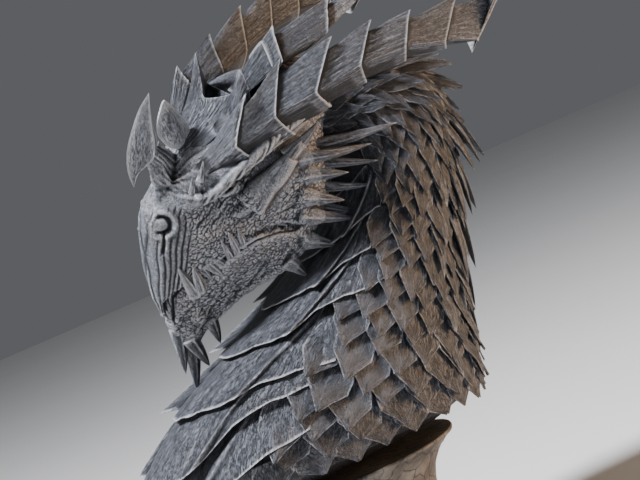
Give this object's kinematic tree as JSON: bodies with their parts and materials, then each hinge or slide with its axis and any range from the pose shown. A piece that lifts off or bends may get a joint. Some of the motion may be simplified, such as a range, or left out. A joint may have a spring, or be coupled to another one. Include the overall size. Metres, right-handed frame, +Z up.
{
  "type": "dragon bust",
  "caption": "Carved dragon head and neck with swept horns, beaked snout and lapped scales, standing on a round waisted pedestal.",
  "frame": {"origin": "centre of the pedestal's underside, on the surface that it stands on", "axes": "+Z up, the dragon faces -X, its left side, which the head leans towards, faces -Y"},
  "size_m": [0.2111, 0.1116, 0.2677],
  "materials": {
    "bust": "painted resin, dark blue-grey with light grey on the raised edges",
    "pedestal": "painted resin, warm brown-grey with fine dark crackle"
  },
  "bodies": {
    "root": {"bust": "bust", "pedestal": "pedestal"}
  },
  "joints": []
}
